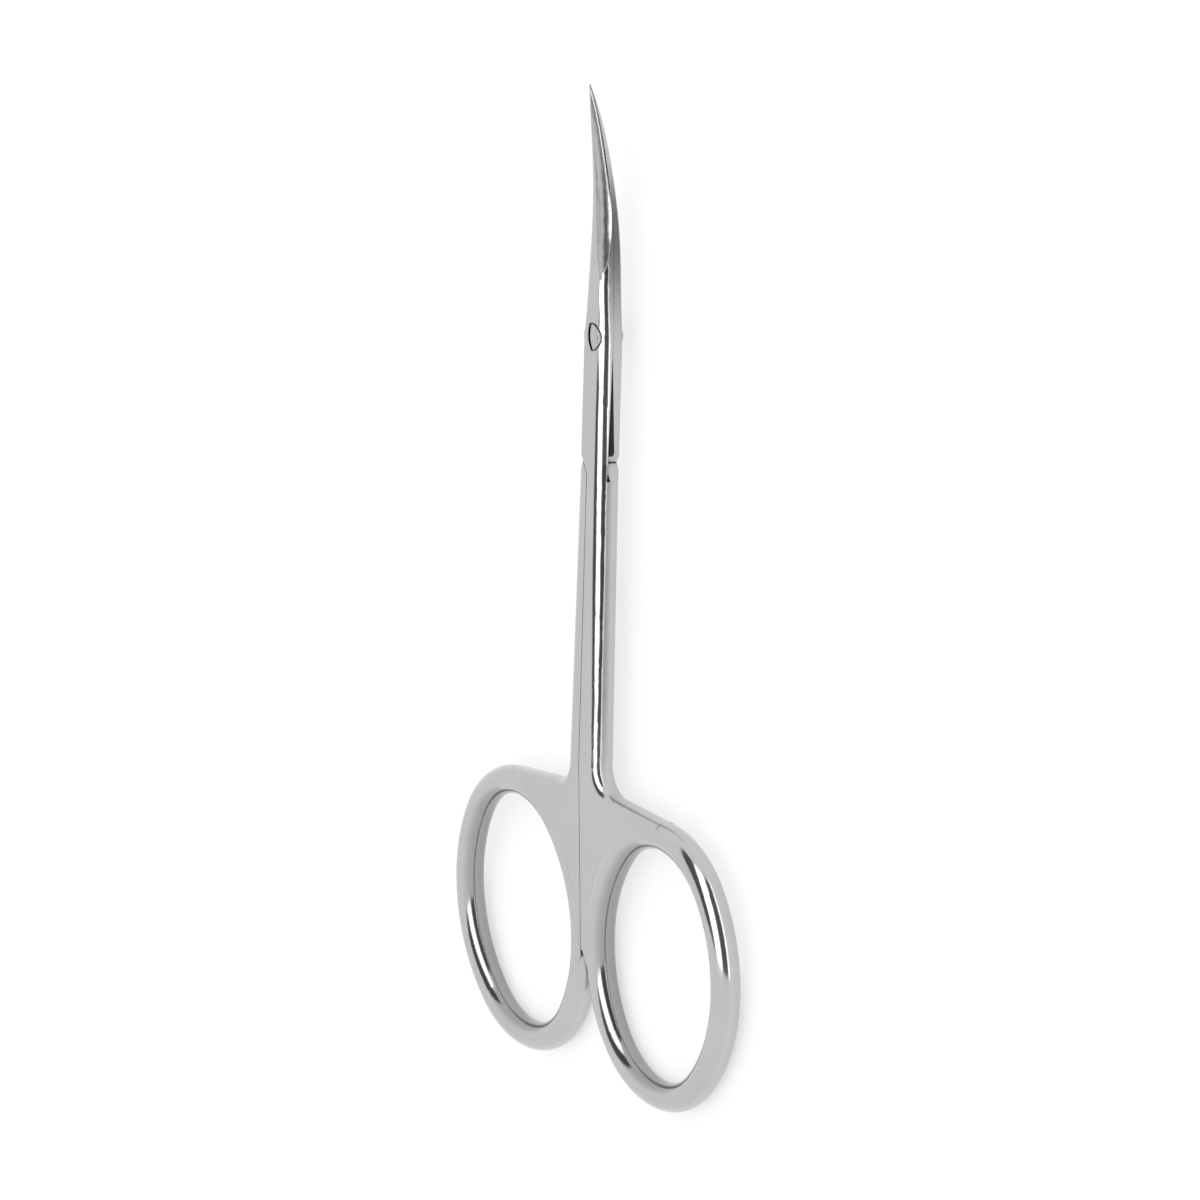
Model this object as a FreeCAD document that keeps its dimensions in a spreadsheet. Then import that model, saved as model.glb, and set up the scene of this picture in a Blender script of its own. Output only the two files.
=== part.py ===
import FreeCAD, Part
import math
import os
import Sketcher

# Cuticle scissors: two forged steel halves that cross at a slotted pivot screw.
# Y runs along the tool to the tips, X to the right finger ring, Z up out of the front face.
# Each half is drawn from the pivot axis with its ring on +X; the back half is then turned over.

SIZES = {
    # Lengths along the tool, from the pivot axis
    "blade_reach": 27.9,
    "plunge_reach": 6.4,
    "curve_start": 8.0,
    "lap_reach": 16.0,
    "ring_reach": 68.9,
    # Bar: widths from the seam plane, heights from the mating plane
    "half_thickness": 1.5,
    "root_half_width": 2.9,
    "lap_half_width": 2.22,
    "joint_half_width": 2.1,
    "pivot_half_width": 2.12,
    "plunge_half_width": 1.72,
    "free_half_width": 1.74,
    "free_round": 0.3,
    "lap_crease": 1.1,
    "joint_crease": 1.05,
    "pivot_crease": 0.9,
    "side_height": 1.5,
    "back_round": 1.0,
    "edge_round": 1.2,
    # Blade curve, and the hollow ground into each blade's outer face
    "curve_radius": 74.0,
    "hollow_radius": 4.0,
    # Lap joint notches
    "notch_offset": 1.08,
    "notch_slope": 1.75,
    # Groove between the joint plates, which runs out above the pivot
    "groove_width": 0.5,
    "groove_height": 0.5,
    "groove_end": 3.0,
    # Handle: how far it is set back, and how far each ring leans outward, in degrees
    "handle_set": 2.5,
    "ring_lean": 6.0,
    # Finger ring, and the web that joins it to the shank
    "ring_half_width": 12.2,
    "ring_half_height": 15.15,
    "ring_end_radius": 10.6,
    "ring_section_radius": 1.65,
    "ring_land_depth": 0.1,
    "neck_rise": 3.6,
    "neck_radius": 3.0,
    "seam_drop": 1.4,
    "seam_offset": 0.35,
    "shoulder_slope": 4.5,
    "shoulder_end": 0.9,
    "shoulder_sink": 0.08,
    # Pivot screw
    "head_radius": 1.46,
    "head_sink": 0.6,
    "head_wall": 0.12,
    "head_crown": 0.28,
    "shaft_radius": 1.1,
    "tail_wall": 0.35,
    "tail_crown": 0.45,
    "slot_width": 0.42,
    "slot_depth": 0.45,
    "slot_turn": 8.0,
    # Clearances: each half stands back this far from the shared seam and mating surfaces
    "seam_clearance": 0.04,
    "mating_clearance": 0.03,
    "shaft_clearance": 0.04,
    "seat_clearance": 0.06,
    # How far cutting shapes run past the material
    "overrun": 3.0,
}

# Blade sections as shares: place from plunge to tip, width of the plunge section, height of the bar
BLADE_SHARES = (
    (-0.15, 1.11, 0.985),
    (0.0, 1.0, 0.95),
    (0.27, 0.9, 0.74),
    (0.46, 0.765, 0.565),
    (0.65, 0.605, 0.42),
    (0.81, 0.41, 0.29),
    (0.93, 0.195, 0.15),
    (1.0, 0.03, 0.025),
)
SPINE_WIDTH_SHARE = 0.94
SPINE_ROUND_SHARE = 0.55
BEVEL_ACROSS_SHARE = 0.42
BEVEL_DOWN_SHARE = 0.86

# Hollow sections as shares: place along the blade, then the crease and the edge, each across and up
HOLLOW_SHARES = (
    (-0.04, 0.95, 1.1, 1.12, 0.95),
    (0.12, 0.29, 0.88, 0.975, 0.45),
    (0.3, 0.0, 0.71, 0.885, 0.19),
    (0.5, -0.1, 0.53, 0.735, 0.05),
    (0.75, -0.1, 0.335, 0.49, 0.01),
    (1.01, -0.01, 0.03, 0.03, 0.0),
)
HOLLOW_REACH_SHARE = 0.25

# Lower end of the web, as shares of the ring's half width and half height from its centre
WEB_END_ACROSS_SHARE = 0.83
WEB_END_DOWN_SHARE = 0.535

RING_CENTRE = "(ring_half_width + ring_section_radius - ring_land_depth)"
WEB_REACH = "(ring_reach - ring_half_height - ring_section_radius - neck_rise)"
SEAM_REACH = "(ring_reach + seam_drop)"
RING_RISE = "(ring_half_height - ring_end_radius)"
HANDLE_LENGTH = f"(ring_reach + {RING_RISE} * cos(ring_lean) + ring_end_radius - {WEB_REACH})"
TOOL_LENGTH = (f"(blade_reach + {WEB_REACH} + {HANDLE_LENGTH} * cos(handle_set)"
               " - half_thickness * sin(handle_set) + ring_section_radius)")
RING_DEPTH = (f"({HANDLE_LENGTH} * sin(handle_set) - half_thickness * (1 - cos(handle_set))"
              " + ring_section_radius)")
TAIL_DEPTH = "(half_thickness + tail_wall + tail_crown)"
HEAD_TOP = "(half_thickness + head_wall + head_crown)"
GROOVE_END_SHARE = 0.1
LIMIT = 1e-6


def make_sheet(doc):
    """Put every driving size into an aliased spreadsheet cell."""
    sheet = doc.addObject("Spreadsheet::Sheet", "Sizes")
    for row, (alias, value) in enumerate(SIZES.items(), start=1):
        sheet.set(f"A{row}", alias)
        sheet.set(f"B{row}", str(value))
        sheet.setAlias(f"B{row}", alias)
    doc.recompute()


def sized(text):
    """Turn bare size names into references to the sheet."""
    result = ""
    word = ""
    for mark in f"{text} ":
        if mark.isalnum() or mark == "_":
            word += mark
            continue
        result += f"Sizes.{word}" if word in SIZES else word
        result += mark
        word = ""
    return result.strip()


def number(item, text):
    """Work out an expression of the sheet as a number."""
    return float(item.evalExpression(sized(text)))


def origin_plane(body, role):
    """Find one of a body's own origin planes."""
    return next(item for item in body.Origin.OriginFeatures if item.Role == role)


def new_plane(body, name, support, base, axis, angle):
    """Make a plane moved from another one and turned about an axis."""
    plane = body.newObject("PartDesign::Plane", f"{body.Name}_{name}")
    plane.AttachmentSupport = [(support, "")]
    plane.MapMode = "FlatFace"
    plane.AttachmentOffset = FreeCAD.Placement(FreeCAD.Vector(), FreeCAD.Rotation(axis, 1))
    for key, text in zip("xyz", base):
        plane.setExpression(f"AttachmentOffset.Base.{key}", sized(text))
    plane.setExpression("AttachmentOffset.Rotation.Angle", sized(angle))
    return plane


def new_sketch(body, name, support, offset="0", mode="FlatFace"):
    """Make a sketch on a plane, or on one of the body's own planes by its role, moved along the normal."""
    sketch = body.newObject("Sketcher::SketchObject", f"{body.Name}_{name}")
    sketch.AttachmentSupport = [(origin_plane(body, support) if isinstance(support, str) else support, "")]
    sketch.MapMode = mode
    sketch.setExpression("AttachmentOffset.Base.z", sized(offset))
    return sketch


def bind(sketch, constraint, text):
    """Add a constraint whose value follows an expression of the sheet."""
    index = sketch.addConstraint(constraint)
    sketch.setExpression(f"Constraints[{index}]", sized(text))


def pin(sketch, geometry, point, place):
    """Hold one sketch point at a place given by two expressions."""
    for kind, axis, text in zip(("DistanceX", "DistanceY"), (-2, -1), place):
        if text == "0":
            sketch.addConstraint(Sketcher.Constraint("PointOnObject", geometry, point, axis))
        else:
            value = number(sketch, text)
            bind(sketch, Sketcher.Constraint(kind, -1, 1, geometry, point, value), text)


def draw_outline(sketch, corners, arcs):
    """Draw a closed outline counter-clockwise; arcs gives some edges a radius, outward or inward."""
    places = [FreeCAD.Vector(number(sketch, x), number(sketch, y), 0) for x, y in corners]
    ends = []
    for edge, start in enumerate(places):
        finish = places[(edge + 1) % len(places)]
        if edge not in arcs:
            ends.append((sketch.addGeometry(Part.LineSegment(start, finish)), 1, 2))
            continue
        text, outward = arcs[edge]
        radius = number(sketch, text)
        chord = finish - start
        half = chord.Length / 2
        sag = radius - math.sqrt(max(radius * radius - half * half, 0))
        away = FreeCAD.Vector(chord.y, -chord.x, 0).normalize() * sag
        middle = (start + finish) / 2 + (away if outward else -away)
        geometry = sketch.addGeometry(Part.Arc(start, middle, finish))
        ends.append((geometry, 1, 2) if outward else (geometry, 2, 1))
        bind(sketch, Sketcher.Constraint("Radius", geometry, radius), text)
    for edge, (geometry, first, last) in enumerate(ends):
        following, following_first, _ = ends[(edge + 1) % len(ends)]
        sketch.addConstraint(Sketcher.Constraint("Coincident", geometry, last, following, following_first))
        pin(sketch, geometry, first, corners[edge])


def draw_circle(sketch, radius, place=("0", "0")):
    """Draw a circle at a place."""
    centre = FreeCAD.Vector(number(sketch, place[0]), number(sketch, place[1]), 0)
    value = number(sketch, radius)
    circle = sketch.addGeometry(Part.Circle(centre, FreeCAD.Vector(0, 0, 1), value))
    pin(sketch, circle, 3, place)
    bind(sketch, Sketcher.Constraint("Radius", circle, value), radius)


def add_feature(body, kind, name, profile=None):
    """Add a feature that keeps its faces as they were drawn."""
    feature = body.newObject(f"PartDesign::{kind}", f"{body.Name}_{name}")
    feature.Refine = False
    if profile is not None:
        feature.Profile = profile
    return feature


def cut(body, name, sketch, length, side="One side", upward=False):
    """Pocket a sketch by a length, away from its plane or to both sides of it."""
    pocket = add_feature(body, "Pocket", name, sketch)
    pocket.SideType = side
    pocket.Reversed = upward
    pocket.setExpression("Length", sized(length))
    return pocket


def blade_reach_at(share):
    """Expression for a place along the blade, from plunge to tip."""
    return f"(plunge_reach + {share} * (blade_reach - plunge_reach))"


def lift_at(reach, bend):
    """Expression for how far the blade has curved out of the mating plane at a place along it."""
    return f"{bend} * (curve_radius - sqrt(curve_radius ^ 2 - max(0; {reach} - curve_start) ^ 2))"


def bar_stations(bend):
    """List the bar's sections from web to tip: reach, widths, height, crease, side, rounds, lift."""
    free = "free_half_width"
    thick = "half_thickness"
    level = ("free_round", "0")
    plain = ("side_height", "back_round", *level)
    stations = [
        (f"-{WEB_REACH}", "root_half_width", free, thick, "edge_round", "edge_round", "edge_round", *level),
        ("-lap_reach", "lap_half_width", free, thick, "lap_crease", *plain),
        ("-lap_reach / 2", "joint_half_width", free, thick, "joint_crease", *plain),
        ("0", "pivot_half_width", free, thick, "pivot_crease", *plain),
    ]
    for along, width_share, height_share in BLADE_SHARES:
        reach = blade_reach_at(along)
        width = f"({width_share} * plunge_half_width)"
        height = f"({height_share} * half_thickness)"
        spine_round = f"({SPINE_ROUND_SHARE} * {height})"
        stations.append((
            reach, width, f"({SPINE_WIDTH_SHARE} * {width})", height,
            f"({BEVEL_ACROSS_SHARE} * {width})", f"({BEVEL_DOWN_SHARE} * {height})",
            spine_round, spine_round, lift_at(reach, bend),
        ))
    return stations


def bar_section(body, name, station, support="XZ_Plane", mode="FlatFace"):
    """Draw one section of the bar: flat faces, a bulged outer side and rounded edges."""
    reach, width, free, height, crease, drop, back, free_round, lift = station
    corners = (
        (f"{free_round} - {free}", f"{lift} - {height}"),
        (f"{width} - {back}", f"{lift} - {height}"),
        (width, f"{lift} - {height} + {back}"),
        (width, f"{lift} + {height} - {drop}"),
        (f"{width} - {crease}", f"{lift} + {height}"),
        (f"{free_round} - {free}", f"{lift} + {height}"),
        (f"-{free}", f"{lift} + {height} - {free_round}"),
        (f"-{free}", f"{lift} - {height} + {free_round}"),
    )
    bulge = f"({crease} ^ 2 + {drop} ^ 2) / (2 * {crease})"
    arcs = {1: (back, True), 3: (bulge, True), 5: (free_round, True), 7: (free_round, True)}
    sketch = new_sketch(body, name, support, f"-({reach})", mode)
    draw_outline(sketch, corners, arcs)
    return sketch


def handle_plane(body, bend):
    """Plane of the web and ring, set back from the shank about the line where their front faces meet."""
    base = (
        "0",
        f"half_thickness * sin(handle_set) - {WEB_REACH} * (1 - cos(handle_set))",
        f"{bend} * (half_thickness * (1 - cos(handle_set)) + {WEB_REACH} * sin(handle_set))",
    )
    level = origin_plane(body, "XY_Plane")
    return new_plane(body, "handle", level, base, FreeCAD.Vector(bend, 0, 0), "handle_set")


def ring_plane(body, handle):
    """Plane centred on the ring, which leans outward in the handle's plane."""
    base = (RING_CENTRE, "-ring_reach", "0")
    return new_plane(body, "ring_middle", handle, base, FreeCAD.Vector(0, 0, -1), "ring_lean")


def add_web(body, handle, oval):
    """Pad the flat web, cut it back to the ring's centre line and round its outer edges."""
    root = ("root_half_width", f"-{WEB_REACH}")
    neck_end = ("root_half_width + neck_radius * (1 - sin(shoulder_slope))",
                f"-{WEB_REACH} - neck_radius * cos(shoulder_slope)")
    shoulder_end = (f"{RING_CENTRE} + shoulder_end",
                    "ring_half_height + ring_section_radius - shoulder_sink - ring_reach")
    corners = (
        ("-free_half_width", f"-{SEAM_REACH}"),
        ("0", f"-{SEAM_REACH}"),
        (f"{RING_CENTRE} - {WEB_END_ACROSS_SHARE} * ring_half_width",
         f"-ring_reach - {WEB_END_DOWN_SHARE} * ring_half_height"),
        (f"{RING_CENTRE} + shoulder_end", "-ring_reach"),
        shoulder_end,
        neck_end,
        root,
        ("-free_half_width", f"-{WEB_REACH}"),
    )
    sketch = new_sketch(body, "web_outline", handle)
    draw_outline(sketch, corners, {5: ("neck_radius", False)})
    pad = add_feature(body, "Pad", "web", sketch)
    pad.SideType = "Symmetric"
    pad.setExpression("Length", sized("2 * half_thickness"))
    hole = cut(body, "web_hole", oval, "2 * half_thickness + overrun", "Symmetric")
    body.Document.recompute()
    names = []
    for face in ("half_thickness", "-half_thickness"):
        rim = [FreeCAD.Vector(*(number(sketch, text) for text in (*place, face)))
               for place in (root, neck_end, shoulder_end)]
        names += rim_edges(hole.Shape, [sketch.Placement.multVec(point) for point in rim])
    fillet = add_feature(body, "Fillet", "web_round")
    fillet.Base = (hole, names)
    fillet.setExpression("Radius", sized("edge_round"))


def rim_edges(shape, rim):
    """Name the edges that run between points of a rim."""
    names = []
    for index, edge in enumerate(shape.Edges, start=1):
        ends = [vertex.Point for vertex in edge.Vertexes]
        if len(ends) == 2 and all(min(end.distanceToPoint(point) for point in rim) < LIMIT for end in ends):
            names.append(f"Edge{index}")
    return names


def ring_oval(body, middle):
    """Draw the ring's centre line, an oval of four arcs that meet smoothly."""
    side_radius = (f"((ring_half_width ^ 2 + {RING_RISE} ^ 2 - ring_end_radius ^ 2)"
                   " / (2 * (ring_half_width - ring_end_radius)))")
    step = f"({side_radius} - ring_end_radius)"
    across = f"(ring_end_radius * ({side_radius} - ring_half_width) / {step})"
    up = f"({RING_RISE} * {side_radius} / {step})"
    corners = ((across, f"-{up}"), (across, up), (f"-{across}", up), (f"-{across}", f"-{up}"))
    ends = ("ring_end_radius", True)
    sides = (side_radius, True)
    sketch = new_sketch(body, "ring_line", middle)
    draw_outline(sketch, corners, {0: sides, 1: ends, 2: sides, 3: ends})
    return sketch


def add_ring(body, middle, oval):
    """Sweep the ring's round section along its centre line."""
    section = new_sketch(body, "ring_section", middle, mode="ObjectXZ")
    draw_circle(section, "ring_section_radius", ("ring_half_width", "0"))
    pipe = add_feature(body, "AdditivePipe", "ring", section)
    pipe.Spine = (oval, [f"Edge{index}" for index in range(1, len(oval.Geometry) + 1)])


def add_bar(body, handle, bend):
    """Loft the shank up from the web's end, then the blade, as a bar that still fills both halves' room."""
    root, *stations = bar_stations(bend)
    sections = [bar_section(body, "root", root, handle, "ObjectXZ")]
    sections += [bar_section(body, f"bar_{index}", station) for index, station in enumerate(stations, start=1)]
    pivot = len(stations) - len(BLADE_SHARES)
    shank = add_feature(body, "AdditiveLoft", "shank", sections[0])
    shank.Sections = sections[1:pivot + 1]
    shank.Ruled = True
    blade = add_feature(body, "AdditiveLoft", "blade", sections[pivot])
    blade.Sections = sections[pivot + 1:]


def cut_seam(body, name, support, low, top):
    """Cut away the other half's room along the slanted seam, up to a top worked out from a place across."""
    far = "(-2 * lap_half_width)"
    reach = "(half_thickness + overrun)"
    sections = []
    for face, side in (("front", 1), ("middle", 0), ("back", -1)):
        seam = f"(seam_clearance - {side} * seam_offset * {reach} / half_thickness)"
        sketch = new_sketch(body, f"{name}_{face}", support, f"{side} * {reach}")
        draw_outline(sketch, ((far, low), (seam, low), (seam, top(seam)), (far, top(far))), {})
        sections.append(sketch)
    seam_cut = add_feature(body, "SubtractiveLoft", name, sections[0])
    seam_cut.Sections = sections[1:]
    seam_cut.Ruled = True


def cut_seams(body, handle):
    """Cut the web's seam, and the shank's seam with the slanted end of this half's joint plate."""
    low = f"-({WEB_REACH} + {HANDLE_LENGTH} + ring_section_radius + overrun)"
    root = f"-{WEB_REACH}"
    cut_seam(body, "web_seam", handle, low, lambda across: root)
    cut_seam(body, "shank_seam", "XY_Plane", root,
             lambda across: f"notch_slope * abs(seam_clearance - {across}) - lap_reach")


def cut_lap(body):
    """Cut the joint plate to its own side of the mating plane, and the notch at the shank's end."""
    sketch = new_sketch(body, "lap", "XY_Plane", "mating_clearance")
    far = "(2 * lap_half_width)"
    notch = "(seam_clearance + notch_offset)"
    corners = (
        (f"-{far}", "-lap_reach"),
        ("seam_clearance", "-lap_reach"),
        (notch, "notch_slope * notch_offset - lap_reach"),
        (far, f"notch_slope * (2 * notch_offset + seam_clearance - {far}) - lap_reach"),
        (far, "plunge_reach"),
        (f"-{far}", "plunge_reach"),
    )
    draw_outline(sketch, corners, {})
    cut(body, "lap_cut", sketch, "half_thickness + overrun")


def cut_groove(body):
    """Bevel the joint plate's side edge at the mating plane, deepest at the lap."""
    sections = []
    for name, reach, width, share in (
        ("groove_low", "-lap_reach", "lap_half_width", 1),
        ("groove_high", "groove_end", "pivot_half_width", GROOVE_END_SHARE),
    ):
        across = f"({share} * groove_width)"
        outer = f"({width} + {across})"
        corners = (
            (f"{width} - {across}", "mating_clearance"),
            (outer, "mating_clearance"),
            (outer, f"mating_clearance + 2 * {share} * groove_height"),
        )
        sketch = new_sketch(body, name, "XZ_Plane", f"-({reach})")
        draw_outline(sketch, corners, {})
        sections.append(sketch)
    groove = add_feature(body, "SubtractiveLoft", "groove", sections[0])
    groove.Sections = sections[1:]
    groove.Ruled = True


def cut_dish(body, bend):
    """Cut the blade along the mating dish, turned about the pivot so that the blades slide past."""
    sketch = new_sketch(body, "dish", "YZ_Plane")
    end = "(blade_reach + overrun)"
    inner = "(plunge_reach / 2)"
    low = "-(half_thickness + 2 * overrun)"
    corners = (
        (inner, low),
        (end, low),
        (end, f"{lift_at(end, bend)} + mating_clearance"),
        ("curve_start", "mating_clearance"),
        (inner, "mating_clearance"),
    )
    draw_outline(sketch, corners, {2: ("curve_radius", bend < 0)})
    groove = add_feature(body, "Groove", "dish_cut", sketch)
    groove.ReferenceAxis = (sketch, ["V_Axis"])
    groove.Midplane = True
    groove.Angle = 180


def cut_hollow(body, bend):
    """Grind the hollow from the plunge to the tip, leaving the cutting edge at the mating face."""
    sections = []
    for index, shares in enumerate(HOLLOW_SHARES, start=1):
        along, crease_across, crease_up, edge_across, edge_up = shares
        reach = blade_reach_at(along)
        lift = lift_at(reach, bend)
        across = f"({HOLLOW_REACH_SHARE} * ({edge_across} - {crease_across}) * plunge_half_width)"
        down = f"({HOLLOW_REACH_SHARE} * ({crease_up} - {edge_up}) * half_thickness)"
        crease = f"({crease_across} * plunge_half_width - {across})"
        edge = f"({edge_across} * plunge_half_width + {across})"
        top = f"{lift} + half_thickness + overrun"
        corners = (
            (crease, f"{lift} + {crease_up} * half_thickness + {down}"),
            (edge, f"{lift} + {edge_up} * half_thickness - {down}"),
            (edge, top),
            (crease, top),
        )
        sketch = new_sketch(body, f"hollow_{index}", "XZ_Plane", f"-({reach})")
        draw_outline(sketch, corners, {0: ("hollow_radius", True)})
        sections.append(sketch)
    hollow = add_feature(body, "SubtractiveLoft", "hollow", sections[0])
    hollow.Sections = sections[1:]


def cut_bore(body):
    """Bore the plate for the screw's shaft."""
    sketch = new_sketch(body, "bore", "XY_Plane")
    draw_circle(sketch, "shaft_radius + shaft_clearance")
    cut(body, "bore_cut", sketch, "2 * half_thickness + overrun", "Symmetric")


def cut_seat(body):
    """Sink the screw head's seat into the front face."""
    sketch = new_sketch(body, "seat", "XY_Plane", "half_thickness - head_sink")
    draw_circle(sketch, "head_radius + seat_clearance")
    cut(body, "seat_cut", sketch, "head_sink + overrun", upward=True)


def make_half(doc, name, bend):
    """Build one forged half: ring, web, shank, joint plate and blade."""
    body = doc.addObject("PartDesign::Body", name)
    body.Label = name
    handle = handle_plane(body, bend)
    middle = ring_plane(body, handle)
    oval = ring_oval(body, middle)
    add_web(body, handle, oval)
    add_ring(body, middle, oval)
    add_bar(body, handle, bend)
    cut_seams(body, handle)
    cut_lap(body)
    cut_groove(body)
    cut_dish(body, bend)
    cut_hollow(body, bend)
    cut_bore(body)
    return body


def make_screw(doc):
    """Turn the pivot screw and cut its driver slot."""
    body = doc.addObject("PartDesign::Body", "pivot_screw")
    body.Label = "pivot_screw"
    sketch = new_sketch(body, "profile", "XZ_Plane")
    under_head = "half_thickness - head_sink + mating_clearance"
    corners = (
        ("0", f"-{TAIL_DEPTH}"),
        ("shaft_radius", "-(half_thickness + tail_wall)"),
        ("shaft_radius", under_head),
        ("head_radius", under_head),
        ("head_radius", "half_thickness + head_wall"),
        ("0", HEAD_TOP),
    )
    arcs = {
        0: ("(shaft_radius ^ 2 + tail_crown ^ 2) / (2 * tail_crown)", True),
        4: ("(head_radius ^ 2 + head_crown ^ 2) / (2 * head_crown)", True),
    }
    draw_outline(sketch, corners, arcs)
    turning = add_feature(body, "Revolution", "turning", sketch)
    turning.ReferenceAxis = (sketch, ["V_Axis"])
    turning.Angle = 360
    slot = new_sketch(body, "slot", "XY_Plane", HEAD_TOP)
    slot.setExpression("AttachmentOffset.Rotation.Angle", sized("slot_turn"))
    long = "(head_radius + overrun)"
    wide = "(slot_width / 2)"
    corners = ((f"-{wide}", f"-{long}"), (wide, f"-{long}"), (wide, long), (f"-{wide}", long))
    draw_outline(slot, corners, {})
    cut(body, "slot_cut", slot, "slot_depth")
    return body


def place(body, turned_over):
    """Lay the tool on its back, with the origin under the middle of its length."""
    if turned_over:
        body.Placement.Rotation = FreeCAD.Rotation(FreeCAD.Vector(0, 1, 0), 180)
    body.setExpression("Placement.Base.y", sized(f"{TOOL_LENGTH} / 2 - blade_reach"))
    body.setExpression("Placement.Base.z", sized(f"max({TAIL_DEPTH}; {RING_DEPTH})"))


def check(doc, bodies):
    """Stop if any feature failed or any solid is not sound."""
    for item in doc.Objects:
        if "Invalid" in item.State or "Error" in item.State:
            raise RuntimeError(f"{item.Label} failed: {item.State}")
    for body in bodies:
        if body.Shape.isNull() or not body.Shape.isValid() or len(body.Shape.Solids) != 1:
            raise RuntimeError(f"{body.Label} is not one sound solid")


def main():
    """Build the halves and the screw, and write one file for each."""
    doc = FreeCAD.newDocument("cuticle_scissors")
    make_sheet(doc)
    front = make_half(doc, "front_half", 1)
    cut_seat(front)
    back = make_half(doc, "back_half", -1)
    screw = make_screw(doc)
    place(front, False)
    place(back, True)
    place(screw, False)
    doc.recompute()
    bodies = (front, back, screw)
    check(doc, bodies)
    os.makedirs("parts", exist_ok=True)
    for body in bodies:
        body.Shape.exportStep(f"parts/{body.Label}.step")
        print(body.Label, body.Shape.BoundBox, round(body.Shape.Volume, 3))


main()
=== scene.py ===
import math

import bpy
from mathutils import Matrix, Vector

# Cuticle scissors in satin and polished steel, lying on a white table under soft strip lights.
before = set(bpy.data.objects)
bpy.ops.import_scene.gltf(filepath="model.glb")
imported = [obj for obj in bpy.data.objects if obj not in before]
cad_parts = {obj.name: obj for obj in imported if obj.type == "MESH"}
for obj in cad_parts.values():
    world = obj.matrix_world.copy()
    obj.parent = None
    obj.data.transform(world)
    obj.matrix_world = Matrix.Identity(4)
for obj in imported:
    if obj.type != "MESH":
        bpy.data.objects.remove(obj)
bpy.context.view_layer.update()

# Camera, fitted to the photograph: turned round the tool's length, raised towards its tips, then rolled
IMAGE_PIXELS = 1200
PIXELS_PER_METRE = 9059.1
CAMERA_DISTANCE = 0.5247
CAMERA_TURN = math.radians(55.73)
CAMERA_RISE = math.radians(11.71)
CAMERA_ROLL = math.radians(1.63)
SENSOR_MILLIMETRES = 36
CLIP_START = 0.01

# Middle of the joint, on the screw's axis, the pixel where the photograph has it, and the way to the tips
PIVOT = Vector((0, 0.028838, 0.003198))
PIVOT_PIXEL = (603.46, 336.08)
LENGTHWISE = Vector((0, 1, 0))

# Steels, each by its colour and the roughness of its flats and rounds
STEEL_COLOUR = (0.53, 0.53, 0.535)
STEEL_FLAT = 0.3
STEEL_ROUND = 0.14
SCREW_COLOUR = (0.51, 0.51, 0.515)
SCREW_FLAT = 0.2
SCREW_ROUND = 0.12

# Fine lengthwise grain of the flats, which are told from the rounds by how squarely they face up or down
FLAT_FACING = (0.985, 0.9985)
GRAIN_STRETCH = (900, 60, 900)
GRAIN_SCALE = 8
GRAIN_DETAIL = 3
GRAIN_DEPTH = 0.000004
GRAIN_STRENGTH = 0.35
GRAIN_ROUGHNESS = 0.08

# Cloudy wear, painted shade in crevices and softened edges
CLOUD_SCALE = 140
CLOUD_DETAIL = 5
WEAR_LEAST = 0.94
WEAR_SPREAD = 0.12
CREVICE_REACH = 0.0009
CREVICE_SAMPLES = 8
CREVICE_LEVELS = (0.4, 0.9)
EDGE_ROUND = 0.0002
EDGE_SAMPLES = 6

# Hollow grind of the blades, past the plunge, by how far the surface slopes to the side
PLUNGE_REACH = 0.0064
HOLLOW_RISE = (0.12, 0.32)
HOLLOW_FALL = (0.69, 0.6)
HOLLOW_SLOPES = (0.57, 0.32)
HOLLOW_BENDS = (0.06, 0.72)
# Painted dark reflection across the hollow, between these slopes, and how much it darkens
HOLLOW_DARK_SLOPES = (0.44, 0.38)
HOLLOW_PAINTED_REFLECTION = 0.5

# Painted dark reflection on the sides of the blades, by how squarely they face to the side and by spans from
# the pivot towards the tip
SIDE_FACING = (0.7, 0.98)
SIDE_RISE = (-0.002, 0.011)
TIP_FALL = (0.021, 0.0135)
BLADE_SIDE_PAINTED_REFLECTION = 0.7

# Painted shade in the groove beside the joint plates
GROOVE_SHADE_REACH = 0.0138
GROOVE_SHADE_END = 0.002
GROOVE_SHADE_HEIGHT = 0.0008
GROOVE_SHADE_SOFT = 0.0001
GROOVE_SHADE_SIDE = 0.0015
GROOVE_SHADE_FACING = 0.6
GROOVE_PAINTED_SHADE = 0.94

# Painted shade on the insides of the finger rings
RING_CENTRE = (0.01375, -0.039977)
RING_RADIUS = 0.012
RING_TOP = -0.0262
RING_FACING = (0.3, 0.9)
RING_INSIDE_PAINTED_SHADE = 0.34

# Painted dark reflection on the sides of the shanks, from the lap joint down to the rings
LAP_REACH = 0.0141
SHANK_BAND = 0.0005
SHANK_FADE = 0.016
SHANK_SIDE_PAINTED_REFLECTION = 0.42

# Painted dark reflection on the tail of the screw, by depths behind the middle of the joint
TAIL_START = 0.0014
TAIL_END = 0.0016
TAIL_PAINTED_REFLECTION = 0.7

# Table
TABLE_SIZE = 4
TABLE_COLOUR = (0.46, 0.46, 0.46, 1)
TABLE_GLOW = 0.63

# Room, by levels from the horizon up to overhead, darker beyond the rings' end
ROOM_COLOUR = (1, 1, 1, 1)
ROOM_LEVELS = ((0, 0.62), (0.4, 0.95), (1, 1.02))
ROOM_NEAR = 0.65
ROOM_NEAR_SPAN = (-0.9, -0.25)

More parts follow.
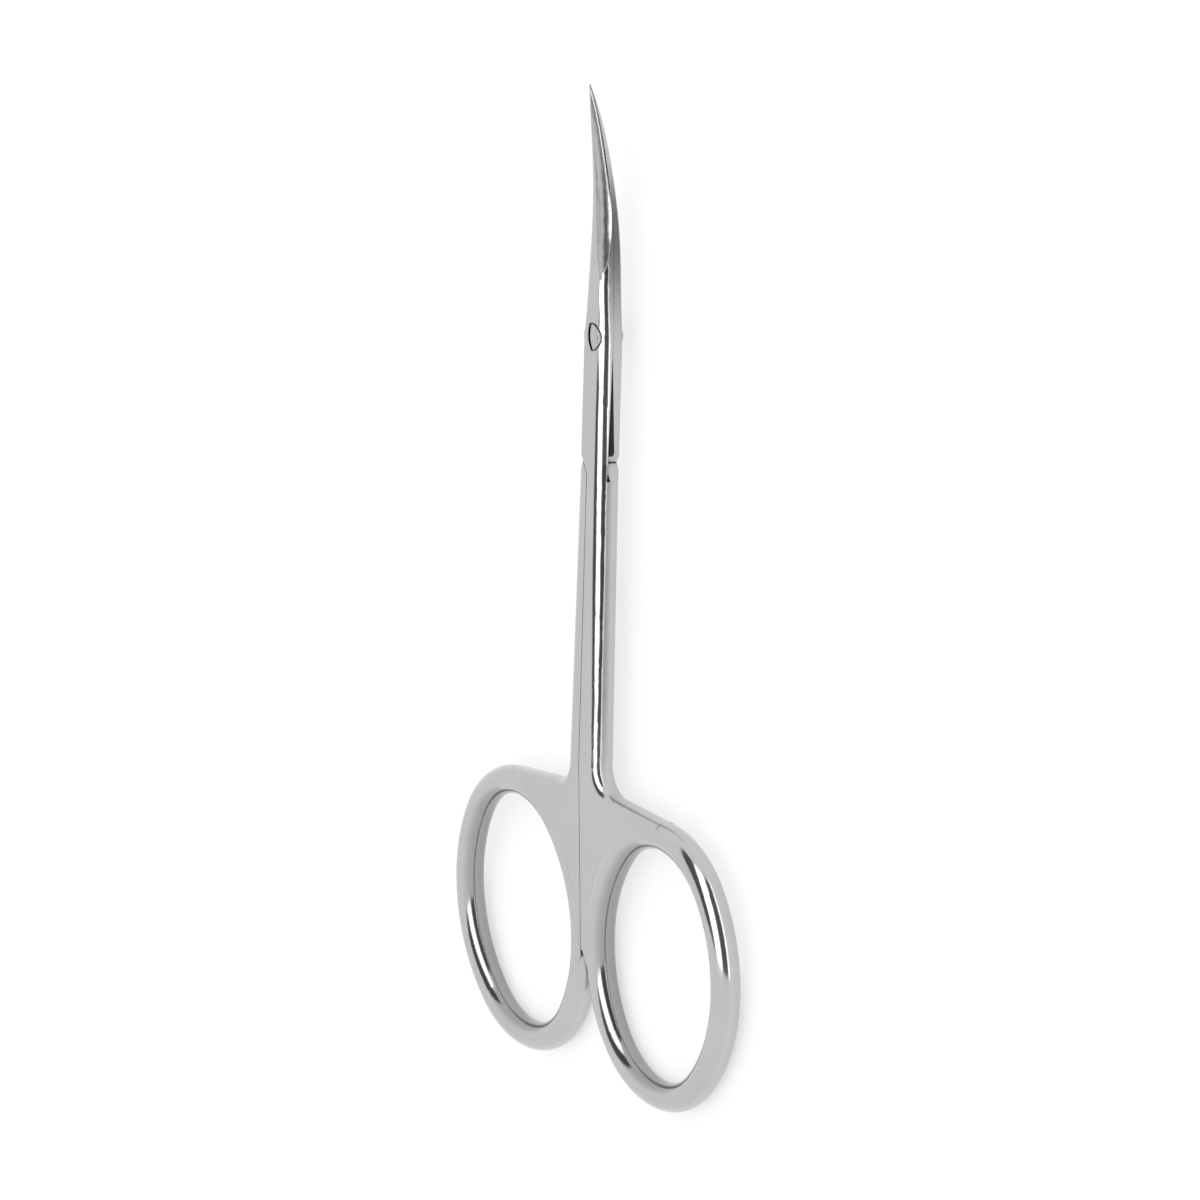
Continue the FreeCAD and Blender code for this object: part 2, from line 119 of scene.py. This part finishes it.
# Strips along the tool, each by the middle and half of its angle in degrees, from +X up to +Z
STRIP_REACH = 0.18
STRIP_START = -0.062
STRIP_END = 0.2
STRIP_LENGTH = STRIP_END - STRIP_START
LIGHT_LEVEL = 1.9
LIGHT_STRIPS = {
    "overhead_strip": (61, 17),
    "side_strip": (4.5, 3.5),
}
FLAG_COLOUR = (0.22, 0.22, 0.22, 1)
DARK_STRIPS = {
    "camera_flag": (26, 18),
    "overhead_flag": (93, 15),
}


def new_material(name):
    """Make an empty node material and return it with its tree and output."""
    material = bpy.data.materials.new(name)
    material.use_nodes = True
    tree = material.node_tree
    tree.nodes.clear()
    return material, tree, tree.nodes.new("ShaderNodeOutputMaterial")


def link(tree, source, target):
    """Join two sockets."""
    tree.links.new(source, target)


def math_node(tree, operation, first, second=0):
    """Add a math node, whose inputs are sockets or numbers, and return its value."""
    node = tree.nodes.new("ShaderNodeMath")
    node.operation = operation
    for socket, value in zip(node.inputs, (first, second)):
        if isinstance(value, (int, float)):
            socket.default_value = value
        else:
            link(tree, value, socket)
    return node.outputs["Value"]


def vector_node(tree, operation, *vectors):
    """Add a vector math node and return its vector."""
    node = tree.nodes.new("ShaderNodeVectorMath")
    node.operation = operation
    for socket, vector in zip(node.inputs, vectors):
        link(tree, vector, socket)
    return node.outputs["Vector"]


def split(tree, vector):
    """Split a vector into its three parts."""
    node = tree.nodes.new("ShaderNodeSeparateXYZ")
    link(tree, vector, node.inputs["Vector"])
    return node.outputs


def noise(tree, vector, scale, detail):
    """Add a noise and return its factor."""
    node = tree.nodes.new("ShaderNodeTexNoise")
    node.inputs["Scale"].default_value = scale
    node.inputs["Detail"].default_value = detail
    link(tree, vector, node.inputs["Vector"])
    return node.outputs["Fac"]


def ramp(tree, factor, stops):
    """Map a factor through grey stops, each a place and a level."""
    node = tree.nodes.new("ShaderNodeValToRGB")
    elements = node.color_ramp.elements
    while len(elements) < len(stops):
        elements.new(1)
    for element, (place, level) in zip(elements, stops):
        element.position = place
        element.color = (level, level, level, 1)
    link(tree, factor, node.inputs["Fac"])
    return node.outputs["Color"]


def remap(tree, value, source, target, curve):
    """Map a value from one span to another."""
    node = tree.nodes.new("ShaderNodeMapRange")
    node.interpolation_type = curve
    for socket, bound in zip(("From Min", "From Max", "To Min", "To Max"), (*source, *target)):
        node.inputs[socket].default_value = bound
    link(tree, value, node.inputs["Value"])
    return node.outputs["Result"]


def step(tree, value, start, end):
    """Rise from nought to one as a value passes from a start to an end."""
    return remap(tree, value, (start, end), (0, 1), "SMOOTHSTEP")


def product(tree, *factors):
    """Multiply factors together."""
    result = factors[0]
    for factor in factors[1:]:
        result = math_node(tree, "MULTIPLY", result, factor)
    return result


def painted_dark(tree, factor, shade):
    """Share of the colour that is kept where a factor paints in shade or a dark reflection."""
    return math_node(tree, "SUBTRACT", 1, product(tree, factor, shade))


def wear(tree, spot):
    """Faint cloudy wear, as a share of the light that is kept."""
    cloud = noise(tree, spot, CLOUD_SCALE, CLOUD_DETAIL)
    return math_node(tree, "ADD", product(tree, cloud, WEAR_SPREAD), WEAR_LEAST)


def painted_crevice_shade(tree):
    """Share of the colour that is kept, which falls to nought in crevices where shade is painted in."""
    crevice = tree.nodes.new("ShaderNodeAmbientOcclusion")
    crevice.samples = CREVICE_SAMPLES
    crevice.inputs["Distance"].default_value = CREVICE_REACH
    return step(tree, crevice.outputs["AO"], *CREVICE_LEVELS)


def lengthwise_grain(tree, spot):
    """Height of the fine grain that runs along the tool."""
    stretch = tree.nodes.new("ShaderNodeMapping")
    stretch.inputs["Scale"].default_value = GRAIN_STRETCH
    link(tree, spot, stretch.inputs["Vector"])
    return noise(tree, stretch.outputs["Vector"], GRAIN_SCALE, GRAIN_DETAIL)


def painted_groove_shade(tree, place, upright):
    """Factor of the painted shade in the groove where each joint plate's side stands back from the other's.
    """
    above = math_node(tree, "SUBTRACT", place["Z"], PIVOT.z)
    depth = math_node(tree, "ABSOLUTE", above)
    below_end = math_node(tree, "SUBTRACT", PIVOT.y + GROOVE_SHADE_END, place["Y"])
    height = product(tree, below_end, GROOVE_SHADE_HEIGHT / (GROOVE_SHADE_REACH + GROOVE_SHADE_END))
    inside = step(tree, math_node(tree, "SUBTRACT", height, depth), 0, GROOVE_SHADE_SOFT)
    sideways = math_node(tree, "GREATER_THAN", math_node(tree, "ABSOLUTE", place["X"]), GROOVE_SHADE_SIDE)
    stood_back = math_node(tree, "LESS_THAN", product(tree, place["X"], above), 0)
    on_plate = math_node(tree, "GREATER_THAN", place["Y"], PIVOT.y - GROOVE_SHADE_REACH)
    on_side = math_node(tree, "LESS_THAN", upright, GROOVE_SHADE_FACING)
    return product(tree, inside, sideways, stood_back, on_plate, on_side)


def along_blade(tree, place, span):
    """Factor that rises over a span of the blades, measured from the pivot towards the tip."""
    return step(tree, place["Y"], PIVOT.y + span[0], PIVOT.y + span[1])


def hollow_grind(tree, place, facing):
    """Factor of the hollow grind, its painted dark reflection, and the bend of its normals from flat to
    cutting edge.
    """
    over = math_node(tree, "SIGN", facing["Z"])
    slope = product(tree, facing["X"], over)
    past_plunge = math_node(tree, "GREATER_THAN", place["Y"], PIVOT.y + PLUNGE_REACH)
    factor = product(tree, step(tree, slope, *HOLLOW_RISE), step(tree, slope, *HOLLOW_FALL), past_plunge)
    bent = remap(tree, slope, HOLLOW_SLOPES, HOLLOW_BENDS, "LINEAR")
    push = math_node(tree, "SUBTRACT", bent, slope)
    across = tree.nodes.new("ShaderNodeCombineXYZ")
    link(tree, product(tree, factor, over, push), across.inputs["X"])
    turned = tree.nodes.new("ShaderNodeVectorTransform")
    turned.vector_type = "VECTOR"
    turned.convert_from = "OBJECT"
    turned.convert_to = "WORLD"
    link(tree, across.outputs["Vector"], turned.inputs["Vector"])
    darkening = step(tree, slope, HOLLOW_SLOPES[0], HOLLOW_DARK_SLOPES[0])
    rising = step(tree, slope, HOLLOW_SLOPES[1], HOLLOW_DARK_SLOPES[1])
    hollow_dark_reflection = product(tree, factor, darkening, rising, along_blade(tree, place, TIP_FALL))
    return factor, hollow_dark_reflection, turned.outputs["Vector"]


def facing_aside(tree, facing):
    """Factor of the surfaces that face to either side."""
    return step(tree, math_node(tree, "ABSOLUTE", facing["X"]), *SIDE_FACING)


def blade_side_painted_reflection(tree, place, facing):
    """Factor of the painted dark reflection on the blades' sides, which fades towards the joint and the tip.
    """
    starting = along_blade(tree, place, SIDE_RISE)
    ending = along_blade(tree, place, TIP_FALL)
    return product(tree, facing_aside(tree, facing), starting, ending)


def shank_side_painted_reflection(tree, place, facing):
    """Factor of the painted dark reflection on the shanks' sides, darker towards the front."""
    front = step(tree, math_node(tree, "SUBTRACT", place["Z"], PIVOT.z), -SHANK_BAND, SHANK_BAND)
    below_lap = math_node(tree, "LESS_THAN", place["Y"], PIVOT.y - LAP_REACH)
    above_rings = step(tree, place["Y"], RING_TOP, RING_TOP + SHANK_FADE)
    return product(tree, facing_aside(tree, facing), front, below_lap, above_rings)


def ring_inside_painted_shade(tree, place, facing):
    """Factor of the painted shade on the finger rings' insides, where the surface faces the middle of the
    ring's hole.
    """
    outward = math_node(tree, "SIGN", place["X"])
    across = math_node(tree, "SUBTRACT", RING_CENTRE[0], math_node(tree, "ABSOLUTE", place["X"]))
    along = math_node(tree, "SUBTRACT", RING_CENTRE[1], place["Y"])
    faces_across = product(tree, facing["X"], outward, across)
    inward = math_node(tree, "ADD", faces_across, product(tree, facing["Y"], along))
    least, most = RING_FACING
    on_ring = math_node(tree, "LESS_THAN", place["Y"], RING_TOP)
    return product(tree, step(tree, inward, least * RING_RADIUS, most * RING_RADIUS), on_ring)


def screw_tail_painted_reflection(tree, place):
    """Factor of the painted dark reflection on the screw's tail, behind the joint."""
    return step(tree, place["Z"], PIVOT.z - TAIL_START, PIVOT.z - TAIL_END)


def steel_normal(tree, bend, grain, flat):
    """Normal with softened edges, the bend of the hollow grind and the grain of the flats."""
    rounding = tree.nodes.new("ShaderNodeBevel")
    rounding.samples = EDGE_SAMPLES
    rounding.inputs["Radius"].default_value = EDGE_ROUND
    bent = vector_node(tree, "ADD", rounding.outputs["Normal"], bend)
    bump = tree.nodes.new("ShaderNodeBump")
    bump.inputs["Distance"].default_value = GRAIN_DEPTH
    link(tree, product(tree, flat, GRAIN_STRENGTH), bump.inputs["Strength"])
    link(tree, grain, bump.inputs["Height"])
    link(tree, vector_node(tree, "NORMALIZE", bent), bump.inputs["Normal"])
    return bump.outputs["Normal"]


def steel(name, colour, flat_roughness, round_roughness, tail_painted_reflection=0):
    """Steel with satin flats and hollows, polished rounds, grain and wear, and painted shade and painted
    dark reflections by place on the tool.
    """
    material, tree, output = new_material(name)
    shader = tree.nodes.new("ShaderNodeBsdfPrincipled")
    shader.inputs["Metallic"].default_value = 1
    link(tree, shader.outputs["BSDF"], output.inputs["Surface"])
    coordinates = tree.nodes.new("ShaderNodeTexCoord")
    spot = coordinates.outputs["Object"]
    place = split(tree, spot)
    facing = split(tree, coordinates.outputs["Normal"])
    upright = math_node(tree, "ABSOLUTE", facing["Z"])
    flat = step(tree, upright, *FLAT_FACING)
    grain = lengthwise_grain(tree, spot)
    hollow, hollow_dark_reflection, bend = hollow_grind(tree, place, facing)

    # Cloudy wear, then painted shade in crevices, groove and ring insides, and painted dark reflections, as
    # shares of the colour kept
    kept = [
        wear(tree, spot),
        painted_crevice_shade(tree),
        painted_dark(tree, painted_groove_shade(tree, place, upright), GROOVE_PAINTED_SHADE),
        painted_dark(tree, ring_inside_painted_shade(tree, place, facing), RING_INSIDE_PAINTED_SHADE),
        painted_dark(tree, blade_side_painted_reflection(tree, place, facing), BLADE_SIDE_PAINTED_REFLECTION),
        painted_dark(tree, shank_side_painted_reflection(tree, place, facing), SHANK_SIDE_PAINTED_REFLECTION),
        painted_dark(tree, hollow_dark_reflection, HOLLOW_PAINTED_REFLECTION),
    ]
    if tail_painted_reflection:
        kept.append(painted_dark(tree, screw_tail_painted_reflection(tree, place), tail_painted_reflection))
    tint = tree.nodes.new("ShaderNodeVectorMath")
    tint.operation = "SCALE"
    tint.inputs[0].default_value = colour
    link(tree, product(tree, *kept), tint.inputs["Scale"])
    link(tree, tint.outputs["Vector"], shader.inputs["Base Color"])

    satin = product(tree, math_node(tree, "MAXIMUM", flat, hollow), flat_roughness - round_roughness)
    plain = math_node(tree, "ADD", satin, round_roughness)
    streaks = product(tree, grain, flat, GRAIN_ROUGHNESS)
    link(tree, math_node(tree, "ADD", plain, streaks), shader.inputs["Roughness"])
    link(tree, steel_normal(tree, bend, grain, flat), shader.inputs["Normal"])
    return material


def dress(node, material):
    """Give a solid its material."""
    node.data.materials.clear()
    node.data.materials.append(material)


def stage_face(name, corners, material):
    """Make one flat face of the stage from its corners."""
    mesh = bpy.data.meshes.new(name)
    mesh.from_pydata(corners, [], [tuple(range(len(corners)))])
    mesh.materials.append(material)
    item = bpy.data.objects.new(name, mesh)
    bpy.context.scene.collection.objects.link(item)
    return item


def seen_directly(tree):
    """Factor that is one for rays from the camera, a reflection or a transmission."""
    path = tree.nodes.new("ShaderNodeLightPath")
    near = math_node(tree, "MAXIMUM", path.outputs["Is Camera Ray"], path.outputs["Is Glossy Ray"])
    return math_node(tree, "MAXIMUM", near, path.outputs["Is Transmission Ray"])


def make_table():
    """Lay a white table under the tool, which keeps its soft shadow."""
    material, tree, output = new_material("white_table")
    diffuse = tree.nodes.new("ShaderNodeBsdfDiffuse")
    diffuse.inputs["Color"].default_value = TABLE_COLOUR
    glow = tree.nodes.new("ShaderNodeEmission")
    link(tree, product(tree, seen_directly(tree), TABLE_GLOW), glow.inputs["Strength"])
    both = tree.nodes.new("ShaderNodeAddShader")
    link(tree, diffuse.outputs["BSDF"], both.inputs[0])
    link(tree, glow.outputs["Emission"], both.inputs[1])
    link(tree, both.outputs["Shader"], output.inputs["Surface"])
    half = TABLE_SIZE / 2
    corners = [(-half, -half, 0), (half, -half, 0), (half, half, 0), (-half, half, 0)]
    stage_face("table", corners, material)


def make_room():
    """Fill the room with soft light, darker towards the horizon, and white where seen or reflected."""
    world = bpy.data.worlds.new("room")
    bpy.context.scene.world = world
    world.use_nodes = True
    tree = world.node_tree
    direction = split(tree, tree.nodes.new("ShaderNodeTexCoord").outputs["Generated"])
    away = step(tree, direction["Y"], *ROOM_NEAR_SPAN)
    dimmed = math_node(tree, "ADD", product(tree, away, 1 - ROOM_NEAR), ROOM_NEAR)
    level = product(tree, ramp(tree, direction["Z"], ROOM_LEVELS), dimmed)
    background = tree.nodes["Background"]
    background.inputs["Color"].default_value = ROOM_COLOUR
    link(tree, math_node(tree, "MAXIMUM", level, seen_directly(tree)), background.inputs["Strength"])


def strip_frame(middle, half):
    """Middle of a strip at an angle round the tool, its direction outward and its width."""
    angle = math.radians(middle)
    outward = Vector((math.cos(angle), 0, math.sin(angle)))
    along = LENGTHWISE * (STRIP_START + STRIP_END) / 2
    return outward * STRIP_REACH + along, outward, 2 * STRIP_REACH * math.tan(math.radians(half))


def hang_lights():
    """Hang strip lights along the tool, which show only in its reflections."""
    for name, angles in LIGHT_STRIPS.items():
        centre, outward, width = strip_frame(*angles)
        data = bpy.data.lights.new(name, "AREA")
        data.shape = "RECTANGLE"
        data.size = width
        data.size_y = STRIP_LENGTH
        data.energy = math.pi * width * STRIP_LENGTH * LIGHT_LEVEL
        lamp = bpy.data.objects.new(name, data)
        lamp.location = centre
        lamp.rotation_mode = "QUATERNION"
        axes = Matrix((LENGTHWISE.cross(outward), LENGTHWISE, outward)).transposed()
        lamp.rotation_quaternion = axes.to_quaternion()
        lamp.visible_camera = False
        lamp.visible_diffuse = False
        bpy.context.scene.collection.objects.link(lamp)


def hang_flags():
    """Hang dark flags along the tool, which show only in its reflections."""
    material, tree, output = new_material("dark_flag")
    dark = tree.nodes.new("ShaderNodeBsdfDiffuse")
    dark.inputs["Color"].default_value = FLAG_COLOUR
    link(tree, dark.outputs["BSDF"], output.inputs["Surface"])
    along = LENGTHWISE * STRIP_LENGTH / 2
    for name, angles in DARK_STRIPS.items():
        centre, outward, width = strip_frame(*angles)
        across = LENGTHWISE.cross(outward) * width / 2
        corners = [centre - across - along, centre + across - along,
                   centre + across + along, centre - across + along]
        flag = stage_face(name, corners, material)
        flag.visible_camera = False
        flag.visible_shadow = False
        flag.visible_diffuse = False


def make_camera():
    """Look at the tool from where the photograph was taken."""
    turn, rise, roll = CAMERA_TURN, CAMERA_RISE, CAMERA_ROLL
    back = Vector((math.sin(turn) * math.cos(rise), math.sin(rise), math.cos(turn) * math.cos(rise)))
    level_up = (LENGTHWISE - back * back.y).normalized()
    level_right = level_up.cross(back)
    right = level_right * math.cos(roll) + level_up * math.sin(roll)
    up = level_up * math.cos(roll) - level_right * math.sin(roll)
    across = (PIVOT_PIXEL[0] - IMAGE_PIXELS / 2) / PIXELS_PER_METRE
    above = (IMAGE_PIXELS / 2 - PIVOT_PIXEL[1]) / PIXELS_PER_METRE
    data = bpy.data.cameras.new("camera")
    data.sensor_width = SENSOR_MILLIMETRES
    data.lens = SENSOR_MILLIMETRES * PIXELS_PER_METRE * CAMERA_DISTANCE / IMAGE_PIXELS
    data.clip_start = CLIP_START
    camera = bpy.data.objects.new("camera", data)
    camera.location = PIVOT - right * across - up * above + back * CAMERA_DISTANCE
    camera.rotation_mode = "QUATERNION"
    camera.rotation_quaternion = Matrix((right, up, back)).transposed().to_quaternion()
    bpy.context.scene.collection.objects.link(camera)
    bpy.context.scene.camera = camera


forged_steel = steel("forged_steel", STEEL_COLOUR, STEEL_FLAT, STEEL_ROUND)
screw_steel = steel("screw_steel", SCREW_COLOUR, SCREW_FLAT, SCREW_ROUND, TAIL_PAINTED_REFLECTION)
for name in ("front_half", "back_half"):
    dress(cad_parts[name], forged_steel)
dress(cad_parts["pivot_screw"], screw_steel)
make_table()
make_room()
hang_lights()
hang_flags()
make_camera()
bpy.context.scene.view_settings.view_transform = "Standard"
